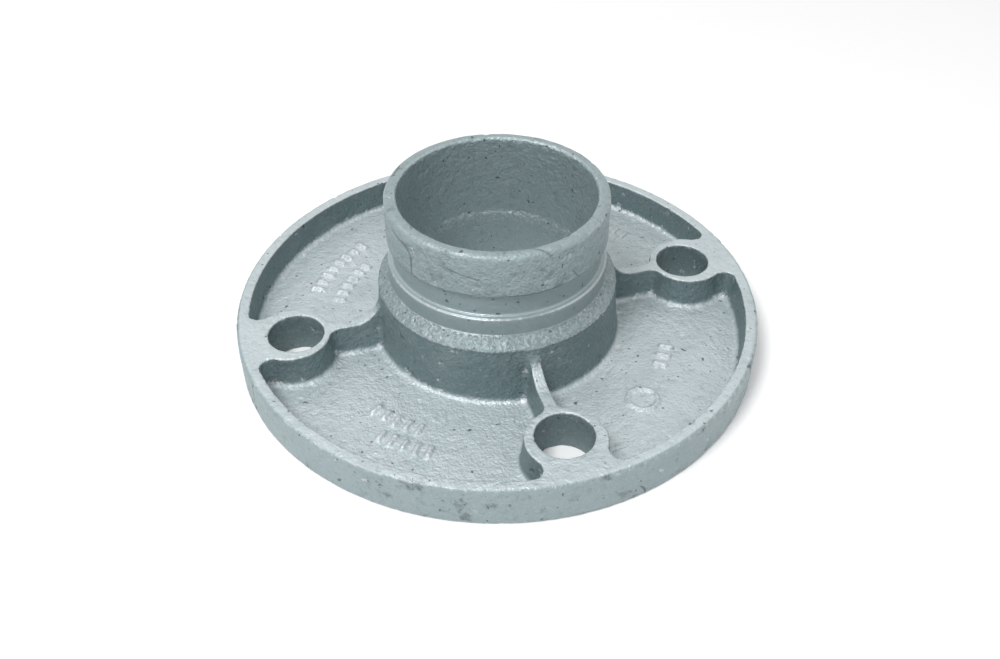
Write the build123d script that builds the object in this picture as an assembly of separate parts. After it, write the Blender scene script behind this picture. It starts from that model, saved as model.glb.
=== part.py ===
from build123d import *
import os
from math import cos, radians, sin, sqrt, tan

# Grooved pipe flange adaptor: one iron casting. All sizes are in millimetres.
# The origin is the centre of the flat sealing face, +Z runs up the bore,
# and the bolt holes lie on the X and Y axes.

# Flange
FLANGE_DIAMETER = 185.0
FLANGE_THICKNESS = 15.2
RIM_WALL = 4.3
RIM_EDGE_RADIUS = 1.2
SEALING_EDGE_RADIUS = 0.8

# Bolt holes and the bosses around them, measured in from the flange's edge
BOLT_COUNT = 4
BOLT_EDGE_DISTANCE = 20.0
BOLT_HOLE_DIAMETER = 19.0
BOLT_HOLE_EDGE_RADIUS = 0.6
BOSS_EDGE_DISTANCE = 18.5
BOSS_WALL = 3.8
BOSS_NECK_STEP = 2.3

# Pockets between the bosses, drafted so that the pattern leaves the sand
WEB_THICKNESS = 4.0
DRAFT_ANGLE = 5.0
POCKET_FLOOR_FILLET = 2.2
POCKET_CORNER_RADIUS = 3.6
BOSS_BLEND_RADIUS = 3.6
BLEND_SHARE_OF_NECK = 0.6
RIB_ROOT_RADIUS = 2.0

# Hub, from the flange's top face up to the shoulder under the spigot
HUB_WALL_HEIGHT = 10.2
SHOULDER_RISE = 2.7
SHOULDER_WIDTH = 3.75
SHOULDER_EDGE_RADIUS = 1.0

# Ribs that run from the bosses to the hub and climb its wall
RIB_TOP_WIDTH = 4.2
RIB_CLIMB_RADIUS = 11.0
RIB_TOP_BELOW_SHOULDER = 0.6
RIB_PROUD_OF_HUB = 0.4

# Grooved spigot
OVERALL_HEIGHT = 60.0
SPIGOT_DIAMETER = 76.1
SPIGOT_WALL = 4.35
SEAT_LENGTH = 15.88
GROOVE_WIDTH = 8.74
GROOVE_DEPTH = 1.92
GROOVE_CORNER_RADIUS = 0.4
MOUTH_OUTER_EDGE_RADIUS = 1.8
MOUTH_INNER_EDGE_RADIUS = 1.0

# Bore, a little narrower in the flange than in the spigot
BORE_STEP_WIDTH = 0.7
BORE_STEP_RISE = 1.5
BORE_STEP_ABOVE_SHOULDER = 1.1
BORE_EDGE_RADIUS = 0.8

# Sizes that follow from those above
DRAFT = tan(radians(DRAFT_ANGLE))
BOLT_SPACING = 360 / BOLT_COUNT
FLANGE_RADIUS = FLANGE_DIAMETER / 2
RIM_INNER_RADIUS = FLANGE_RADIUS - RIM_WALL
BOLT_CIRCLE_RADIUS = FLANGE_RADIUS - BOLT_EDGE_DISTANCE
BOSS_CENTRE_DISTANCE = FLANGE_RADIUS - BOSS_EDGE_DISTANCE
BOSS_RADIUS = BOLT_HOLE_DIAMETER / 2 + BOSS_WALL
BOSS_NECK_HALF_WIDTH = BOSS_RADIUS - BOSS_NECK_STEP
SPIGOT_RADIUS = SPIGOT_DIAMETER / 2
GROOVE_RADIUS = SPIGOT_RADIUS - GROOVE_DEPTH
GROOVE_TOP = OVERALL_HEIGHT - SEAT_LENGTH
GROOVE_FOOT = GROOVE_TOP - GROOVE_WIDTH
SHOULDER_FOOT = FLANGE_THICKNESS + HUB_WALL_HEIGHT
SHOULDER_TOP = SHOULDER_FOOT + SHOULDER_RISE
HUB_WALL_TOP_RADIUS = SPIGOT_RADIUS + SHOULDER_WIDTH
SPIGOT_BORE_RADIUS = SPIGOT_RADIUS - SPIGOT_WALL
BORE_RADIUS = SPIGOT_BORE_RADIUS - BORE_STEP_WIDTH
BORE_STEP_TOP = SHOULDER_TOP + BORE_STEP_ABOVE_SHOULDER
RIB_CLIMB_REACH = HUB_WALL_HEIGHT - RIB_TOP_BELOW_SHOULDER
CLIMB_TOP = FLANGE_THICKNESS + RIB_CLIMB_REACH
CLIMB_TOP_RADIUS = HUB_WALL_TOP_RADIUS + RIB_PROUD_OF_HUB
CLIMB_FOOT_RADIUS = CLIMB_TOP_RADIUS + RIB_CLIMB_REACH
HUB_RADIUS_AT_RIM = HUB_WALL_TOP_RADIUS + RIB_CLIMB_REACH * DRAFT


def along(radius, offset):
    """Distance along a line at which a circle crosses a parallel at this offset."""
    return sqrt(radius**2 - offset**2)


def round_corner(face, corner, radius):
    """Round the corner of a flat face that lies nearest to the given point."""
    vertex = face.vertices().sort_by_distance((*corner, 0))[0]
    return face.fillet_2d(radius, [vertex])


def turned_section():
    """Half section of the turned body, drawn as (radius, height)."""
    sealing_outer = (FLANGE_RADIUS, 0)
    rim_top = (FLANGE_RADIUS, FLANGE_THICKNESS)
    climb_foot = (CLIMB_FOOT_RADIUS, FLANGE_THICKNESS)
    climb_top = (CLIMB_TOP_RADIUS, CLIMB_TOP)
    shoulder_foot = (HUB_WALL_TOP_RADIUS, SHOULDER_FOOT)
    shoulder_top = (SPIGOT_RADIUS, SHOULDER_TOP)
    land_top = (SPIGOT_RADIUS, GROOVE_FOOT)
    groove_foot = (GROOVE_RADIUS, GROOVE_FOOT)
    groove_top = (GROOVE_RADIUS, GROOVE_TOP)
    seat_foot = (SPIGOT_RADIUS, GROOVE_TOP)
    mouth_outer = (SPIGOT_RADIUS, OVERALL_HEIGHT)
    mouth_inner = (SPIGOT_BORE_RADIUS, OVERALL_HEIGHT)
    step_top = (SPIGOT_BORE_RADIUS, BORE_STEP_TOP)
    step_foot = (BORE_RADIUS, BORE_STEP_TOP - BORE_STEP_RISE)
    sealing_inner = (BORE_RADIUS, 0)

    flange_edge = Polyline(sealing_inner, sealing_outer, rim_top, climb_foot)
    climb = RadiusArc(climb_foot, climb_top, RIB_CLIMB_RADIUS)
    spigot = Polyline(climb_top, shoulder_foot, shoulder_top, land_top, groove_foot,
                      groove_top, seat_foot, mouth_outer, mouth_inner, step_top,
                      step_foot, sealing_inner)
    section = make_face([flange_edge, climb, spigot]).face()

    section = round_corner(section, sealing_inner, BORE_EDGE_RADIUS)
    section = round_corner(section, sealing_outer, SEALING_EDGE_RADIUS)
    section = round_corner(section, rim_top, RIM_EDGE_RADIUS)
    section = round_corner(section, shoulder_foot, SHOULDER_EDGE_RADIUS)
    section = round_corner(section, shoulder_top, SHOULDER_EDGE_RADIUS)
    section = round_corner(section, groove_foot, GROOVE_CORNER_RADIUS)
    section = round_corner(section, groove_top, GROOVE_CORNER_RADIUS)
    section = round_corner(section, mouth_outer, MOUTH_OUTER_EDGE_RADIUS)
    return round_corner(section, mouth_inner, MOUTH_INNER_EDGE_RADIUS)


def turned_body():
    """Rim, rib flare, hub, grooved spigot and bore as one turned solid."""
    return revolve(Plane.XZ * turned_section(), Axis.Z)


def boss_outline(angle, inset):
    """Boss round one bolt hole with its neck to the rim and its rib to the hub."""
    boss = Pos(BOSS_CENTRE_DISTANCE, 0) * Circle(BOSS_RADIUS + inset)
    neck_size = (BOSS_EDGE_DISTANCE, 2 * (BOSS_NECK_HALF_WIDTH + inset))
    neck = Pos(BOSS_CENTRE_DISTANCE, 0) * Rectangle(*neck_size, align=(Align.MIN, Align.CENTER))
    rib_size = (BOSS_CENTRE_DISTANCE, RIB_TOP_WIDTH + 2 * inset)
    rib = Rectangle(*rib_size, align=(Align.MIN, Align.CENTER))
    return Rot(Z=angle) * (boss + neck + rib)


def neck_blend(radius):
    """Radius of a blend at either end of a boss's neck, limited by the neck's side."""
    rim_end = along(RIM_INNER_RADIUS, BOSS_NECK_HALF_WIDTH)
    boss_end = BOSS_CENTRE_DISTANCE + along(BOSS_RADIUS, BOSS_NECK_HALF_WIDTH)
    return min(radius, BLEND_SHARE_OF_NECK * (rim_end - boss_end))


def mirrored(point):
    """The matching point at the next boss, across the middle line of the pocket."""
    x, y = point
    turn = radians(BOLT_SPACING)
    return (x * cos(turn) + y * sin(turn), x * sin(turn) - y * cos(turn))


def pocket_outline(inset):
    """The pocket between the first two bosses, with every wall moved in by the inset."""
    rim, hub = RIM_INNER_RADIUS - inset, HUB_RADIUS_AT_RIM + inset
    boss, neck_edge = BOSS_RADIUS + inset, BOSS_NECK_HALF_WIDTH + inset
    rib_edge = RIB_TOP_WIDTH / 2 + inset
    ring = Circle(rim) - Circle(hub)
    for index in range(BOLT_COUNT):
        ring -= boss_outline(index * BOLT_SPACING, inset)
    middle = Rot(Z=BOLT_SPACING / 2) * Pos(BOSS_CENTRE_DISTANCE, 0)
    outline = ring.faces().sort_by_distance(middle.position)[0]

    root = (along(hub, rib_edge), rib_edge)
    boss_inner = (BOSS_CENTRE_DISTANCE - along(boss, rib_edge), rib_edge)
    boss_outer = (BOSS_CENTRE_DISTANCE + along(boss, neck_edge), neck_edge)
    corner = (along(rim, neck_edge), neck_edge)
    blends = [(root, RIB_ROOT_RADIUS),
              (boss_inner, BOSS_BLEND_RADIUS),
              (boss_outer, neck_blend(BOSS_BLEND_RADIUS)),
              (corner, neck_blend(POCKET_CORNER_RADIUS))]
    for point, radius in blends:
        outline = round_corner(outline, point, radius - inset)
        outline = round_corner(outline, mirrored(point), radius - inset)
    return outline


def pocket_cutter():
    """Drafted tool for one pocket, from its rounded floor to the top of the ribs."""
    floor = Pos(Z=WEB_THICKNESS) * pocket_outline((FLANGE_THICKNESS - WEB_THICKNESS) * DRAFT)
    rib_top = Pos(Z=CLIMB_TOP) * pocket_outline(-RIB_CLIMB_REACH * DRAFT)
    cutter = loft([floor, rib_top], ruled=True)
    floor_edges = cutter.faces().sort_by(Axis.Z)[0].edges()
    return fillet(floor_edges, POCKET_FLOOR_FILLET)


def bolt_holes():
    """Cylinders that drill the bolt circle."""
    drill = Cylinder(BOLT_HOLE_DIAMETER / 2, FLANGE_THICKNESS,
                     align=(Align.CENTER, Align.CENTER, Align.MIN))
    return [place * drill for place in PolarLocations(BOLT_CIRCLE_RADIUS, BOLT_COUNT)]


def hole_mouths(body):
    """Round edges of the bolt holes on the bosses; those on the sealing face stay sharp."""
    circles = body.edges().filter_by(GeomType.CIRCLE).filter_by_position(
        Axis.Z, FLANGE_THICKNESS, FLANGE_THICKNESS)
    return circles.filter_by(lambda edge: abs(edge.radius - BOLT_HOLE_DIAMETER / 2) < 0.001)


def flange_casting():
    """The whole casting: turned body, four pockets and four drilled holes."""
    casting = turned_body()
    cutter = pocket_cutter()
    for index in range(BOLT_COUNT):
        casting -= Rot(Z=index * BOLT_SPACING) * cutter
    casting -= bolt_holes()
    return fillet(hole_mouths(casting), BOLT_HOLE_EDGE_RADIUS)


os.makedirs("parts", exist_ok=True)
export_step(flange_casting(), "parts/flange_casting.step")
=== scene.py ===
# %% [markdown]
# # A galvanised grooved flange adaptor
# The object is one iron casting that was poured in sand and then dipped in molten zinc. Its true
# shape and size come from the CAD model. This file gives it what a CAD model leaves out: the soft
# edges and uneven skin of sand casting, the zinc that froze on it, and a plain studio round it.

import math

import bmesh
import bpy
import numpy as np
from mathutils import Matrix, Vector, noise


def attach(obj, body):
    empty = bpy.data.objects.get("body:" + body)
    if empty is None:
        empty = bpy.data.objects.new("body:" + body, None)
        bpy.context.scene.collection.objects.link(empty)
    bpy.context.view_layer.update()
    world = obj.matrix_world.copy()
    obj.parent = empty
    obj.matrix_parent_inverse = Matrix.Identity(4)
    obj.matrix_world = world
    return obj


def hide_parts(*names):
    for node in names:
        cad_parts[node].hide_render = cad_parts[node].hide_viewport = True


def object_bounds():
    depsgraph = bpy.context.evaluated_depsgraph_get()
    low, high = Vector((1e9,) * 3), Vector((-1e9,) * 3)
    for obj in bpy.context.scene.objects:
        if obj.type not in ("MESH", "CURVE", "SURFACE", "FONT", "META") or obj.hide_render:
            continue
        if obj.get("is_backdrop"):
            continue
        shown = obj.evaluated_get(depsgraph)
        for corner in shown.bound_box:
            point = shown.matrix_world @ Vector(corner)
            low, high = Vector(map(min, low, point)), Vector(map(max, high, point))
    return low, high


MM = 0.001

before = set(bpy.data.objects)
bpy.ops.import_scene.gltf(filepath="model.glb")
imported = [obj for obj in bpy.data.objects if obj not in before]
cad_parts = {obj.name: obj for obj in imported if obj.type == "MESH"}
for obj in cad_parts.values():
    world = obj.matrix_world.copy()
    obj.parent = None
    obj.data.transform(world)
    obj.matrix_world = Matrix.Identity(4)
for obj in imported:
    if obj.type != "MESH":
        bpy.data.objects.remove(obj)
cad_low, cad_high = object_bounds()
print("CAD box in mm:", [round((b - a) / MM, 2) for a, b in zip(cad_low, cad_high)])

# %% [markdown]
# ## Measures of the casting
# The zones of the surface are told apart by height above the sealing face and by distance from
# the bore's axis. These few sizes are the ones that a drawing of the part would carry.

# %% Measures
PLATE_TOP = 4.0 * MM
SHOULDER_FOOT = 25.4 * MM
SHOULDER_TOP = 28.1 * MM
GROOVE_TOP = 44.12 * MM
BORE_WALL_RADIUS = 34.2 * MM
FLANGE_RADIUS = cad_high.x
print("flange radius", round(FLANGE_RADIUS / MM, 2), "mm, mouth at", round(cad_high.z / MM, 2), "mm")

# %% [markdown]
# ## The raw casting
# The CAD mesh is loose triangles, so a copy is merged into one closed skin. The CAD node itself
# is never touched: the finished piece stands for it at the end.


# %% Merge a copy
def merged_copy(node_name, name):
    """A closed copy of a CAD node's mesh, as a new object."""
    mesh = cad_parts[node_name].data.copy()
    mesh.name = name
    work = bmesh.new()
    work.from_mesh(mesh)
    bmesh.ops.remove_doubles(work, verts=work.verts, dist=0.001 * MM)
    work.to_mesh(mesh)
    work.free()
    copy = bpy.data.objects.new(name, mesh)
    bpy.context.scene.collection.objects.link(copy)
    return copy


raw_casting = merged_copy("flange_casting", "raw_casting")
print("merged skin:", len(raw_casting.data.vertices), "corners")

# %% [markdown]
# ## Foundry marks
# Castings of this kind carry raised marks on the plate, pressed into the sand by the pattern.
# Here they are plain tally bars and a plain ring that say nothing. Bars that repeat along an arc
# are a job for Geometry Nodes: one tree places them, and each row only sets its own numbers.


# %% One helper for every node
def add_node(tree, kind, settings=None, inputs=None):
    """Add a node, set its properties, and fill or link its inputs."""
    node = tree.nodes.new(kind)
    for name, value in (settings or {}).items():
        setattr(node, name, value)
    for name, value in (inputs or {}).items():
        if isinstance(value, bpy.types.NodeSocket):
            tree.links.new(value, node.inputs[name])
        else:
            node.inputs[name].default_value = value
    return node


# %% The tree for a row of raised bars
def build_bar_row_tree():
    """Geometry Nodes group that stands bars side by side along an arc on the plate."""
    tree = bpy.data.node_groups.new("raised_bar_row", "GeometryNodeTree")
    sizes = {"Row Radius": 60 * MM, "Start Angle": 0.0, "Angle Step": 0.06}
    sizes |= {"Bar Length": 5.0 * MM, "Bar Width": 1.3 * MM, "Bar Height": 2.4 * MM}
    sizes |= {"Plate Height": PLATE_TOP}
    for name, value in sizes.items():
        socket = tree.interface.new_socket(name, in_out="INPUT", socket_type="NodeSocketFloat")
        socket.default_value = value
    for name, value in {"Count": 5, "Seed": 1}.items():
        socket = tree.interface.new_socket(name, in_out="INPUT", socket_type="NodeSocketInt")
        socket.default_value = value
    tree.interface.new_socket("Material", in_out="INPUT", socket_type="NodeSocketMaterial")
    tree.interface.new_socket("Geometry", in_out="OUTPUT", socket_type="NodeSocketGeometry")

    given = tree.nodes.new("NodeGroupInput").outputs
    index = add_node(tree, "GeometryNodeInputIndex").outputs[0]
    turned = add_node(tree, "ShaderNodeMath", {"operation": "MULTIPLY_ADD"},
                      {0: index, 1: given["Angle Step"], 2: given["Start Angle"]}).outputs[0]
    cosine = add_node(tree, "ShaderNodeMath", {"operation": "COSINE"}, {0: turned}).outputs[0]
    sine = add_node(tree, "ShaderNodeMath", {"operation": "SINE"}, {0: turned}).outputs[0]
    x = add_node(tree, "ShaderNodeMath", {"operation": "MULTIPLY"},
                 {0: cosine, 1: given["Row Radius"]}).outputs[0]
    y = add_node(tree, "ShaderNodeMath", {"operation": "MULTIPLY"},
                 {0: sine, 1: given["Row Radius"]}).outputs[0]
    place = add_node(tree, "ShaderNodeCombineXYZ", None, {0: x, 1: y, 2: given["Plate Height"]})
    points = add_node(tree, "GeometryNodePoints", None,
                      {"Count": given["Count"], "Position": place.outputs[0]})
    size = add_node(tree, "ShaderNodeCombineXYZ", None,
                    {0: given["Bar Length"], 1: given["Bar Width"], 2: given["Bar Height"]})
    bar = add_node(tree, "GeometryNodeMeshCube", None, {"Size": size.outputs[0]})
    spin = add_node(tree, "ShaderNodeCombineXYZ", None, {2: turned})
    uneven = add_node(tree, "FunctionNodeRandomValue", {"data_type": "FLOAT_VECTOR"},
                      {0: (0.8, 0.9, 1.0), 1: (1.0, 1.2, 1.0), "Seed": given["Seed"]})
    row = add_node(tree, "GeometryNodeInstanceOnPoints", None,
                   {"Points": points.outputs[0], "Instance": bar.outputs["Mesh"],
                    "Rotation": spin.outputs[0], "Scale": uneven.outputs[0]})
    solid = add_node(tree, "GeometryNodeRealizeInstances", None, {0: row.outputs[0]})
    named = add_node(tree, "GeometryNodeSetMaterial", None,
                     {"Geometry": solid.outputs[0], "Material": given["Material"]})
    result = tree.nodes.new("NodeGroupOutput")
    tree.links.new(named.outputs[0], result.inputs[0])
    return tree


bar_row_tree = build_bar_row_tree()
zinc = bpy.data.materials.new("hot_dip_galvanised_cast_iron")
print("inputs of the row:", [s.name for s in bar_row_tree.interface.items_tree])


# %% Place the rows
def mesh_of(obj):
    """A plain mesh of an object with its modifiers worked out."""
    evaluated = obj.evaluated_get(bpy.context.evaluated_depsgraph_get())
    return bpy.data.meshes.new_from_object(evaluated)


def bar_row(name, radius, middle_degrees, count, spacing, seed):
    """One row of raised bars, centred on an angle round the flange."""
    step = spacing / radius
    start = math.radians(middle_degrees) - step * (count - 1) / 2
    row = bpy.data.objects.new(name, bpy.data.meshes.new(name))
    bpy.context.scene.collection.objects.link(row)
    nodes = row.modifiers.new("bars", "NODES")
    nodes.node_group = bar_row_tree
    values = {"Row Radius": radius, "Start Angle": start, "Angle Step": step, "Count": count}
    values |= {"Seed": seed, "Material": zinc}
    for socket in bar_row_tree.interface.items_tree:
        if socket.name in values:
            nodes[socket.identifier] = values[socket.name]
    mesh = mesh_of(row)
    bpy.data.objects.remove(row)
    return mesh


mark_meshes = [
    bar_row("front_left_inner", 62 * MM, 221, 5, 4.4 * MM, 3),
    bar_row("front_left_outer", 70 * MM, 228, 5, 4.4 * MM, 5),
    bar_row("back_left_inner", 60 * MM, 142, 6, 4.4 * MM, 8),
    bar_row("back_left_outer", 70 * MM, 136, 8, 4.4 * MM, 4),
    bar_row("back_right", 73 * MM, 34, 4, 4.4 * MM, 9),
    bar_row("front_right", 62 * MM, 324, 3, 4.8 * MM, 2),
]
print("rows of bars:", len(mark_meshes))

# %% A plain ring
RING_RADIUS = 5.0 * MM
RING_WIRE_RADIUS = 0.7 * MM
RING_LIFT = 0.2 * MM
RING_DISTANCE = 64.6 * MM
RING_ANGLE = math.radians(302.5)

bpy.ops.mesh.primitive_torus_add(
    major_radius=RING_RADIUS, minor_radius=RING_WIRE_RADIUS, major_segments=48, minor_segments=12,
    location=(RING_DISTANCE * math.cos(RING_ANGLE), RING_DISTANCE * math.sin(RING_ANGLE),
              PLATE_TOP + RING_LIFT))
ring = bpy.context.object
ring.data.transform(ring.matrix_world)
mark_meshes.append(ring.data.copy())
bpy.data.objects.remove(ring)
print("marks in all:", len(mark_meshes))

# %% [markdown]
# ## One skin with soft edges
# A real casting has no sharp corner: sand rounds it and zinc rounds it again. Remeshing the
# casting and its marks on a fine grid of cells joins them into one skin, and a little smoothing
# rounds every edge by about the size of a cell. A Bevel modifier would first have to be
# told which of the CAD mesh's many small edges are real ones.

# %% Join and remesh
CELL = 0.6 * MM
SMOOTH_PASSES = 2

joined = bmesh.new()
joined.from_mesh(raw_casting.data)
for mesh in mark_meshes:
    joined.from_mesh(mesh)
joined.to_mesh(raw_casting.data)
joined.free()

remesh = raw_casting.modifiers.new("even_cells", "REMESH")
remesh.mode = "VOXEL"
remesh.voxel_size = CELL
smooth = raw_casting.modifiers.new("soft_edges", "SMOOTH")
smooth.factor = 0.5
smooth.iterations = SMOOTH_PASSES
skin_mesh = mesh_of(raw_casting)
bpy.data.objects.remove(raw_casting)
print("even skin:", len(skin_mesh.vertices), "corners")

# %% [markdown]
# ## The uneven cast skin
# Sand leaves shallow waves a few millimetres wide and small pits. The groove, its land and the
# sealing face were cut smooth, so the waves fade out there. They move the mesh itself, because
# they show in the outline of the rim and in the highlights, which a bump alone wouldn't change.


# %% Helpers that read a mesh
def corner_array(mesh, what):
    """Positions or normals of a mesh's corners as an array with three columns."""
    values = np.empty(len(mesh.vertices) * 3, np.float32)
    if what == "co":
        mesh.vertices.foreach_get("co", values)
    else:
        mesh.vertex_normals.foreach_get("vector", values)
    return values.reshape(-1, 3).astype(float)


def ramp(values, start, end):
    """0 before start and 1 after end, with a soft passage between them."""
    share = np.clip((values - start) / (end - start), 0, 1)
    return share * share * (3 - 2 * share)


def waves(points, size, offset):
    """Smooth noise between about -1 and 1 whose humps are this size."""
    return np.array([noise.noise(Vector(p)) for p in points / size + offset])


# %% Raise the waves
WAVE_SIZES = {6.0 * MM: 0.11 * MM, 2.6 * MM: 0.075 * MM}
WAVES_START = 7.3
PIT_SIZE = 3.4 * MM
PIT_DEPTH = 0.32 * MM
PITS_START = 31.7
PIT_RIM = 0.42
PIT_FLOOR = 0.75
SKIN_SINK = 0.05 * MM
TURNED_CALM = 0.9

points = corner_array(skin_mesh, "co")
normals = corner_array(skin_mesh, "normal")
radius = np.hypot(points[:, 0], points[:, 1])
height = points[:, 2]
turned_smooth = (ramp(height, SHOULDER_TOP, SHOULDER_TOP + 1.5 * MM)
                 * (1 - ramp(height, GROOVE_TOP - 0.3 * MM, GROOVE_TOP + 0.8 * MM))
                 * ramp(radius, BORE_WALL_RADIUS, BORE_WALL_RADIUS + 1.0 * MM))
rough = (1 - TURNED_CALM * turned_smooth) * ramp(height, 0.05 * MM, 0.8 * MM)
lift = sum(depth * waves(points, size, WAVES_START) for size, depth in WAVE_SIZES.items())
pits = ramp(waves(points, PIT_SIZE, PITS_START), PIT_RIM, PIT_FLOOR)
lift = rough * (lift - SKIN_SINK - PIT_DEPTH * pits)
points += normals * lift[:, None]
points = np.clip(points, np.array(cad_low), np.array(cad_high))
skin_mesh.vertices.foreach_set("co", points.astype(np.float32).ravel())
skin_mesh.update()
print("deepest pit:", round(-lift.min() / MM, 2), "mm, highest wave:", round(lift.max() / MM, 2), "mm")

# %% [markdown]
# ## Thin out the flat places
# The even grid spends as many triangles on the flat sealing face as on the marks. Decimate takes
# them where the skin is flat, which keeps the piece well under its budget.

# %% Thin the skin
TRIANGLE_BUDGET = 185_000

skin = bpy.data.objects.new("flange_casting_skin", skin_mesh)
bpy.context.scene.collection.objects.link(skin)
thin = skin.modifiers.new("thin_flats", "DECIMATE")
thin.ratio = TRIANGLE_BUDGET / (2 * len(skin_mesh.polygons))
final_mesh = mesh_of(skin)
skin.modifiers.clear()
skin.data = final_mesh
kept_inside = np.clip(corner_array(final_mesh, "co"), np.array(cad_low), np.array(cad_high))
final_mesh.vertices.foreach_set("co", kept_inside.astype(np.float32).ravel())
final_mesh.update()
final_mesh.shade_smooth()
print("triangles:", sum(len(p.vertices) - 2 for p in final_mesh.polygons))

# %% [markdown]
# ## Where zinc is thick, and where highlights are painted
# Zinc runs into the hollows and freezes there, bright and grainy, with painted highlight mixed in.
# Outer edges get a painted highlight. Both depend on how the skin bends, so the bend is measured once
# and kept on the mesh as attributes for the material to read, with how level each face is.

# %% Measure the bend
BEND_PASSES = 2
FULL_BEND = 0.9 / MM
LEVEL_STARTS = 0.25
LEVEL_FULL = 0.85

points = corner_array(final_mesh, "co")
normals = corner_array(final_mesh, "normal")
ends = np.empty(len(final_mesh.edges) * 2, np.int64)
final_mesh.edges.foreach_get("vertices", ends)
ends = ends.reshape(-1, 2)
neighbours = np.bincount(ends.ravel(), minlength=len(points)).astype(float)


def mean_of_neighbours(values):
    """Mean of a value over the corners that share an edge with each corner."""
    total = np.bincount(ends[:, 0], values[ends[:, 1]], len(points))
    total += np.bincount(ends[:, 1], values[ends[:, 0]], len(points))
    return total / np.maximum(neighbours, 1)


step = np.linalg.norm(points[ends[:, 0]] - points[ends[:, 1]], axis=1)
mean_step = (np.bincount(ends[:, 0], step, len(points))
             + np.bincount(ends[:, 1], step, len(points))) / np.maximum(neighbours, 1)
pull = np.stack([mean_of_neighbours(points[:, axis]) for axis in range(3)], 1) - points
bend = 4 * np.sum(pull * normals, axis=1) / mean_step**2
for _ in range(BEND_PASSES):
    bend = 0.5 * bend + 0.5 * mean_of_neighbours(bend)


def keep_on_mesh(name, values):
    """Store one number per corner as a named attribute."""
    attribute = final_mesh.attributes.new(name, "FLOAT", "POINT")
    attribute.data.foreach_set("value", values.astype(np.float32))


keep_on_mesh("hollow", np.clip(bend / FULL_BEND, 0, 1))
keep_on_mesh("edge", np.clip(-bend / FULL_BEND, 0, 1))
keep_on_mesh("level", ramp(np.abs(normals[:, 2]), LEVEL_STARTS, LEVEL_FULL))
print("hollow share:", round(float((bend > FULL_BEND / 2).mean()), 3),
      "edge share:", round(float((bend < -FULL_BEND / 2).mean()), 3))

# %% [markdown]
# ## Hot-dip galvanised cast iron
# Zinc that froze on rough iron is a pale, slightly blue-green grey. It is a metal under a matt
# skin of oxide, so it counts as part metal and gives a broad, soft highlight. The level faces are
# painted pale and the walls painted darker, as painted light and shade from above. Handling left
# dark stains and scuffs on the flange's edge.


# %% Colours
def linear(hex_colour):
    """Linear RGBA of a colour written as it looks on a screen."""
    channels = [int(hex_colour[i : i + 2], 16) / 255 for i in (1, 3, 5)]
    bent = [c / 12.92 if c <= 0.04045 else ((c + 0.055) / 1.055) ** 2.4 for c in channels]
    return (*bent, 1.0)


# Painted shade and painted light: walls start in the darker colour and level faces in the paler one, as
# if lit from above.
ZINC_SHADED_WALL = linear("#6E8083")
# Painted light: outer and turned faces get this lighter tone in place of the painted wall shade, as walls
# out of the pockets get more light; the same tone also marks the thicker-coat clouds.
ZINC_LIT_OUTER = linear("#94A3A6")
ZINC_LIT_LEVEL = linear("#BFCACD")
# Painted highlight: the palest zinc, laid on edges, glints and specks as highlight, and in the hollows
# partly as bright frozen zinc.
ZINC_PALE_AND_HIGHLIGHT = linear("#DFDFE1")
ZINC_BORE = linear("#94A5A8")
STAIN = linear("#3E4648")
print("darkest and palest zinc:", [round(c[1], 2) for c in (ZINC_SHADED_WALL, ZINC_PALE_AND_HIGHLIGHT)])

# %% Where a point of the surface lies
METAL_UNDER_OXIDE = 0.4

zinc.use_nodes = True
tree = zinc.node_tree
shader = tree.nodes["Principled BSDF"]
shader.inputs["Metallic"].default_value = METAL_UNDER_OXIDE

place = add_node(tree, "ShaderNodeTexCoord").outputs["Object"]
split = add_node(tree, "ShaderNodeSeparateXYZ", None, {0: place}).outputs
up = split[2]
flat_place = add_node(tree, "ShaderNodeCombineXYZ", None, {0: split[0], 1: split[1]}).outputs[0]
from_axis = add_node(tree, "ShaderNodeVectorMath", {"operation": "LENGTH"},
                     {0: flat_place}).outputs["Value"]
print("metal under the oxide:", METAL_UNDER_OXIDE)

# %% [markdown]
# ## Patterns in the zinc
# Each pattern is one noise texture whose size is that of the real thing: the sand's grain and the
# finer grain of the zinc, clouds where the coat is thicker, smears of dirt, pinholes, and two that
# draw scratches. A cell of noise holds one light and one dark grain, so it is two grains wide.

# %% Noise by real size
GRAINS_IN_CELL = 2
EVEN_ROUGHNESS = 0.55
SMEAR_ROUGHNESS = 0.7

noises = {
    "grain": (1.3 * MM, 3.0, EVEN_ROUGHNESS),
    "fine_grain": (0.5 * MM, 2.0, EVEN_ROUGHNESS),
    "cloud": (9.0 * MM, 3.0, EVEN_ROUGHNESS),
    "smear": (5.0 * MM, 5.0, SMEAR_ROUGHNESS),
    "pinholes": (1.1 * MM, 1.0, EVEN_ROUGHNESS),
    "scratch_path": (17.0 * MM, 0.0, EVEN_ROUGHNESS),
    "scratch_gaps": (9.0 * MM, 1.0, EVEN_ROUGHNESS),
}
pattern = {}
for name, (size, detail, roughness) in noises.items():
    noise_inputs = {"Vector": place, "Scale": 1 / (GRAINS_IN_CELL * size), "Detail": detail}
    noise_inputs["Roughness"] = roughness
    pattern[name] = add_node(tree, "ShaderNodeTexNoise", None, noise_inputs).outputs[0]

# A scratch runs where its noise is close to the middle value.
MIDDLE_OF_NOISE = 0.5
off_middle = add_node(tree, "ShaderNodeMath", {"operation": "SUBTRACT"},
                      {0: pattern["scratch_path"], 1: MIDDLE_OF_NOISE}).outputs[0]
off_scratch = add_node(tree, "ShaderNodeMath", {"operation": "ABSOLUTE"}, {0: off_middle}).outputs[0]
print("patterns:", list(pattern))

# %% [markdown]
# ## Masks
# A mask is a number from 0 to 1 that says how much of a finish a point gets. Most start as a soft
# step: over a height or a distance they pick a zone of the casting, and over a pattern or a stored
# attribute they pick its high or low places. A step is a low end, a high end, and the value at
# each end.

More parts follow.
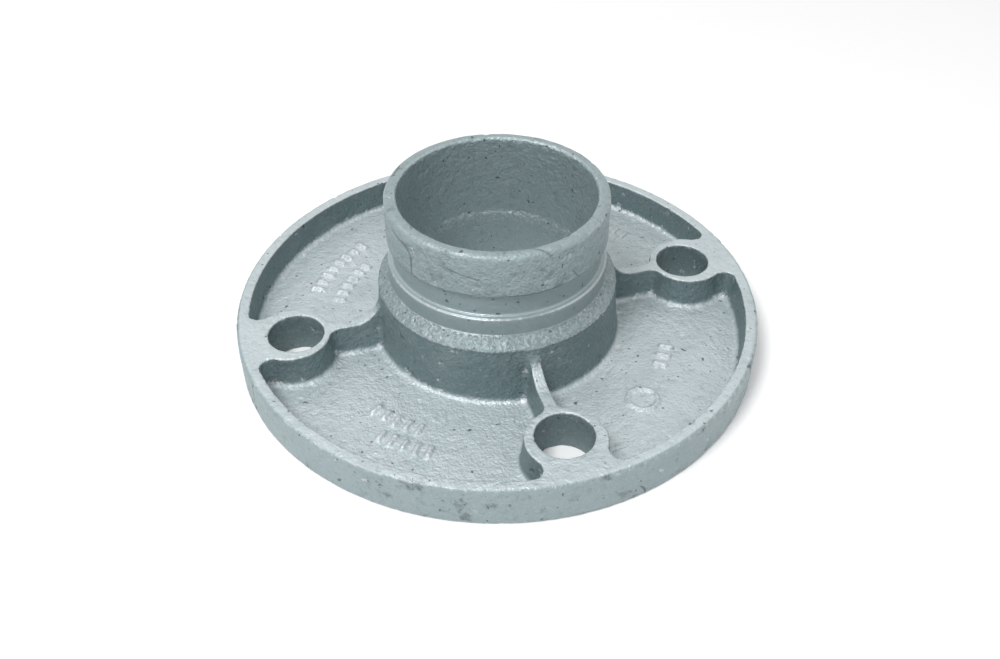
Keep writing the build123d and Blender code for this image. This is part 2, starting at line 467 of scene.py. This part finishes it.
# %% Soft steps
stored = {}
for name in ("level", "hollow", "edge"):
    stored[name] = add_node(tree, "ShaderNodeAttribute", {"attribute_name": name}).outputs["Fac"]

steps = {
    "in_bore": (from_axis, BORE_WALL_RADIUS, BORE_WALL_RADIUS + 0.6 * MM, 1, 0),
    "out_of_bore": (from_axis, BORE_WALL_RADIUS, BORE_WALL_RADIUS + 0.6 * MM, 0, 1),
    "on_flange_edge": (from_axis, FLANGE_RADIUS - 1.4 * MM, FLANGE_RADIUS - 0.5 * MM, 0, 1),
    "over_shoulder_foot": (up, SHOULDER_FOOT - 1.0 * MM, SHOULDER_FOOT, 0, 1),
    "under_shoulder_top": (up, SHOULDER_TOP, SHOULDER_TOP + 1.0 * MM, 1, 0),
    "over_shoulder": (up, SHOULDER_TOP, SHOULDER_TOP + 1.2 * MM, 0, 1),
    "under_groove_top": (up, GROOVE_TOP, GROOVE_TOP + 0.8 * MM, 1, 0),
    "over_groove": (up, GROOVE_TOP, GROOVE_TOP + 1.0 * MM, 0, 1),
    # Painted glints: bright flecks where the fine grain is high.
    "sparkle": (pattern["fine_grain"], 0.42, 0.6, 0, 1),
    "fine_specks": (pattern["fine_grain"], 0.5, 0.75, 0, 1),
    "low_sand": (pattern["grain"], 0.28, 0.45, 1, 0),
    "thick_coat": (pattern["cloud"], 0.4, 0.75, 0, 1),
    "smears": (pattern["smear"], 0.55, 0.7, 0, 1),
    "pinholes": (pattern["pinholes"], 0.71, 0.76, 0, 1),
    "scratch_lines": (off_scratch, 0.003, 0.009, 1, 0),
    "scratch_here": (pattern["scratch_gaps"], 0.5, 0.58, 0, 1),
    "hollow": (stored["hollow"], 0.2, 0.55, 0, 1),
    "edge": (stored["edge"], 0.5, 1.0, 0, 1),
}
mask = {}
for name, (value, low, high, at_low, at_high) in steps.items():
    mask[name] = add_node(tree, "ShaderNodeMapRange", {"interpolation_type": "SMOOTHSTEP"},
                          {0: value, 1: low, 2: high, 3: at_low, 4: at_high}).outputs[0]
print("soft steps:", len(mask))

# %% [markdown]
# ## Masks made of masks
# Multiplying keeps only what lies in all of the masks, and a number among them weakens the result.
# The largest of several masks joins zones. The list is worked from top to bottom, so that a line
# can use the names above it.

# %% Join the masks
both = "MULTIPLY"
either = "MAXIMUM"
made_of = {
    "on_turned": (both, "over_shoulder", "under_groove_top", "out_of_bore"),
    "as_cast": ("SUBTRACT", 1.0, "on_turned"),
    "on_seat": (both, "over_groove", "out_of_bore"),
    "on_shoulder": (both, "over_shoulder_foot", "under_shoulder_top"),
    "machined": (both, "on_turned", 0.8),
    # Painted light: the outer and turned faces leave the painted wall shade behind.
    "outer_faces": (either, "on_flange_edge", "on_seat", "on_shoulder", "machined"),
    # The cast shoulder is laid darker, in the shaded wall colour.
    "darker_shoulder": (both, "on_shoulder", "as_cast", 0.7),
    "cloudy": (both, "thick_coat", 0.3),
    # Partly real and partly painted: bright frozen zinc in the hollows, broken up by painted glints.
    "hollow_zinc_and_glints": (both, "hollow", "sparkle", "as_cast", "out_of_bore", 0.7),
    # Painted highlight along the convex edges.
    "painted_edge_highlights": (both, "edge", 0.45),
    # Painted glints on the cast shoulder.
    "shoulder_sparkle": (both, "on_shoulder", "as_cast", "sparkle", 0.2),
    "bright_places": (either, "hollow_zinc_and_glints", "painted_edge_highlights", "shoulder_sparkle"),
    "bright": (both, "bright_places", 0.8),
    # Painted glints: pale specks where the fine grain is high on the cast skin.
    "glint_specks": (both, "fine_specks", "as_cast", 0.1),
    "dark_grain": (both, "low_sand", "as_cast", 0.15),
    "dark_pinholes": (both, "pinholes", 0.75),
    "handled_seat": (both, "on_seat", 0.7),
    "handled": (either, "on_flange_edge", "handled_seat"),
    "stains": (both, "smears", "handled", 0.7),
    "scratches": (both, "scratch_lines", "scratch_here", "handled", 0.7),
}
for name, (operation, *parts) in made_of.items():
    parts = [mask[part] if isinstance(part, str) else part for part in parts]
    result = parts[0]
    for part in parts[1:]:
        result = add_node(tree, "ShaderNodeMath", {"operation": operation},
                          {0: result, 1: part}).outputs[0]
    mask[name] = result
print("masks in all:", len(mask))

# %% [markdown]
# ## Layers of colour
# The colour starts with painted shade and painted light: dark on the walls and pale on the level
# faces, as if lit from above. Then each layer covers what is below it by its mask, in the order of
# the real thing: the zones, with painted light on the outer faces, the zinc that froze with painted
# highlights and glints, and last the dirt and scratches of handling.

# %% Lay the colours
# Painted shade and painted light: the colour goes from dark on walls to pale on level faces, by how level
# the face is.
colour = add_node(tree, "ShaderNodeMix", {"data_type": "RGBA"},
                  {0: stored["level"], 6: ZINC_SHADED_WALL, 7: ZINC_LIT_LEVEL}).outputs[2]
layers = {
    "outer_faces": ZINC_LIT_OUTER,
    "darker_shoulder": ZINC_SHADED_WALL,
    "in_bore": ZINC_BORE,
    "cloudy": ZINC_LIT_OUTER,
    "bright": ZINC_PALE_AND_HIGHLIGHT,
    "glint_specks": ZINC_PALE_AND_HIGHLIGHT,
    "dark_grain": STAIN,
    "dark_pinholes": STAIN,
    "stains": STAIN,
    "scratches": STAIN,
}
for name, layer_colour in layers.items():
    colour = add_node(tree, "ShaderNodeMix", {"data_type": "RGBA"},
                      {0: mask[name], 6: colour, 7: layer_colour}).outputs[2]
tree.links.new(colour, shader.inputs["Base Color"])
print("layers of colour:", len(layers))

# %% Roughness
SMOOTHEST = 0.42
ROUGHEST = 0.58
THIN_COAT = 0.3
THICK_COAT = 0.7
TURNED_SMOOTHER_BY = 0.12

cast_roughness = add_node(tree, "ShaderNodeMapRange", {"interpolation_type": "SMOOTHSTEP"},
                          {0: pattern["cloud"], 1: THIN_COAT, 2: THICK_COAT, 3: SMOOTHEST,
                           4: ROUGHEST}).outputs[0]
turned_share = add_node(tree, "ShaderNodeMath", {"operation": "MULTIPLY"},
                        {0: mask["on_turned"], 1: TURNED_SMOOTHER_BY}).outputs[0]
zinc_roughness = add_node(tree, "ShaderNodeMath", {"operation": "SUBTRACT"},
                          {0: cast_roughness, 1: turned_share}).outputs[0]
tree.links.new(zinc_roughness, shader.inputs["Roughness"])
print("roughness from", SMOOTHEST, "to", ROUGHEST)

# %% [markdown]
# ## Relief too fine for the mesh
# Grains of sand and zinc are smaller than the mesh's cells, so a bump tilts the light on them.
# The turned faces keep little grain and show the tool's lines instead. Real lines lie about
# 0.2 mm apart. They are drawn coarser here, because finer ones wouldn't show.

# %% Grain and turning lines as bump
GRAIN_SHARE = 0.7
FINE_SHARE = 0.3
GRAIN_LEFT_WHEN_TURNED = 0.15
TURNING_PITCH = 0.5 * MM
TURNING_DEPTH = 0.06
LINE_WANDER = 0.6
BUMP_STRENGTH = 0.9
BUMP_DEPTH = 1.3 * MM
BAND_AT_SCALE_ONE = 0.314  # metres from one band of a wave texture to the next, at a scale of 1

coarse = add_node(tree, "ShaderNodeMath", {"operation": "MULTIPLY"},
                  {0: pattern["grain"], 1: GRAIN_SHARE}).outputs[0]
cast_height = add_node(tree, "ShaderNodeMath", {"operation": "MULTIPLY_ADD"},
                       {0: pattern["fine_grain"], 1: FINE_SHARE, 2: coarse}).outputs[0]
grain_left = add_node(tree, "ShaderNodeMapRange", {"interpolation_type": "SMOOTHSTEP"},
                      {0: mask["on_turned"], 3: 1.0, 4: GRAIN_LEFT_WHEN_TURNED}).outputs[0]
grain_height = add_node(tree, "ShaderNodeMath", {"operation": "MULTIPLY"},
                        {0: cast_height, 1: grain_left}).outputs[0]
lines = add_node(tree, "ShaderNodeTexWave", {"bands_direction": "Z", "wave_profile": "SIN"},
                 {"Vector": place, "Scale": BAND_AT_SCALE_ONE / TURNING_PITCH, "Distortion": LINE_WANDER})
line_share = add_node(tree, "ShaderNodeMath", {"operation": "MULTIPLY"},
                      {0: mask["on_turned"], 1: TURNING_DEPTH}).outputs[0]
relief = add_node(tree, "ShaderNodeMath", {"operation": "MULTIPLY_ADD"},
                  {0: lines.outputs["Fac"], 1: line_share, 2: grain_height}).outputs[0]
bump = add_node(tree, "ShaderNodeBump", None,
                {"Height": relief, "Strength": BUMP_STRENGTH, "Distance": BUMP_DEPTH})
tree.links.new(bump.outputs[0], shader.inputs["Normal"])
final_mesh.materials.clear()
final_mesh.materials.append(zinc)
print("nodes in the zinc:", len(tree.nodes))

# %% Hand the skin over
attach(skin, "root")
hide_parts("flange_casting")
print("finished piece:", skin.name)

# %% [markdown]
# ## Studio
# A white paper floor, one large soft lamp above and to the left, and a soft sky of light that is
# stronger overhead. Walls get less light than level faces, as under a light tent. What the
# camera, mirrors and glass see beyond the floor is plain white.

# %% Floor
FLOOR_SIZE = 8.0

bpy.ops.mesh.primitive_plane_add(size=FLOOR_SIZE, location=(0, 0, 0))
floor = bpy.context.object
floor.name = "paper_floor"
paper = bpy.data.materials.new("matt_white_paper")
paper.use_nodes = True
paper_shader = paper.node_tree.nodes["Principled BSDF"]
paper_shader.inputs["Base Color"].default_value = linear("#FFFFFF")
paper_shader.inputs["Roughness"].default_value = 1.0
paper_shader.inputs["Specular IOR Level"].default_value = 0.0
floor.data.materials.append(paper)
floor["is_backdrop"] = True
print("floor:", FLOOR_SIZE, "m wide")

# %% Light
SKY_AT_HORIZON = 0.24
SKY_OVERHEAD = 0.92
KEY_POWER = 6.5
LAMP_WIDTH = 0.35
LAMP_PLACE = (-0.45, -0.35, 0.9)

world = bpy.data.worlds.new("light_tent")
bpy.context.scene.world = world
world.use_nodes = True
sky = world.node_tree
background = sky.nodes["Background"]
background.inputs["Color"].default_value = (1, 1, 1, 1)
direction = add_node(sky, "ShaderNodeTexCoord").outputs["Generated"]
upward = add_node(sky, "ShaderNodeSeparateXYZ", None, {0: direction}).outputs[2]
tent = add_node(sky, "ShaderNodeMapRange", None,
                {0: upward, 1: 0.0, 2: 1.0, 3: SKY_AT_HORIZON, 4: SKY_OVERHEAD}).outputs[0]
seen = add_node(sky, "ShaderNodeLightPath").outputs
seen_share = add_node(sky, "ShaderNodeMath", {"operation": "MAXIMUM"},
                      {0: seen["Is Camera Ray"], 1: seen["Is Transmission Ray"]}).outputs[0]
seen_share = add_node(sky, "ShaderNodeMath", {"operation": "MAXIMUM"},
                      {0: seen_share, 1: seen["Is Glossy Ray"]}).outputs[0]
strength = add_node(sky, "ShaderNodeMix", {"data_type": "FLOAT"}, {0: seen_share, 2: tent, 3: 1.0})
sky.links.new(strength.outputs[0], background.inputs["Strength"])

key_data = bpy.data.lights.new("soft_lamp", "AREA")
key_data.shape = "DISK"
key_data.size = LAMP_WIDTH
key_data.energy = KEY_POWER
key = bpy.data.objects.new("soft_lamp", key_data)
key.location = LAMP_PLACE
key.rotation_euler = (-key.location).to_track_quat("-Z", "Y").to_euler()
bpy.context.scene.collection.objects.link(key)
print("lamp at", [round(c, 2) for c in key.location], "m,", KEY_POWER, "W")

# %% [markdown]
# ## Camera
# The camera stands a little to the left of the front bolt hole and looks down at the flange, so
# that the groove, the ribs and three of the four holes show.

# %% Camera
AZIMUTH = math.radians(-16.83)
ELEVATION = math.radians(40.52)
DISTANCE = 390.8 * MM
TARGET = Vector((0, 0, -1.19 * MM))
LENS_MM = 38.01
SENSOR_MM = 36.0
SHIFT_RIGHT = 0.00284

back = Vector((math.sin(AZIMUTH) * math.cos(ELEVATION),
               -math.cos(AZIMUTH) * math.cos(ELEVATION),
               math.sin(ELEVATION)))
camera_data = bpy.data.cameras.new("camera")
camera_data.lens = LENS_MM
camera_data.sensor_width = SENSOR_MM
camera_data.shift_x = SHIFT_RIGHT
camera_data.clip_start = 0.01
camera = bpy.data.objects.new("camera", camera_data)
camera.location = TARGET + DISTANCE * back
camera.rotation_euler = (-back).to_track_quat("-Z", "Y").to_euler()
bpy.context.scene.collection.objects.link(camera)
bpy.context.scene.camera = camera
bpy.context.scene.view_settings.view_transform = "Standard"
print("camera at", [round(c / MM) for c in camera.location], "mm")

# %% Measure and finish
low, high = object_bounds()
print("visual box in mm:", [round((b - a) / MM, 2) for a, b in zip(low, high)])
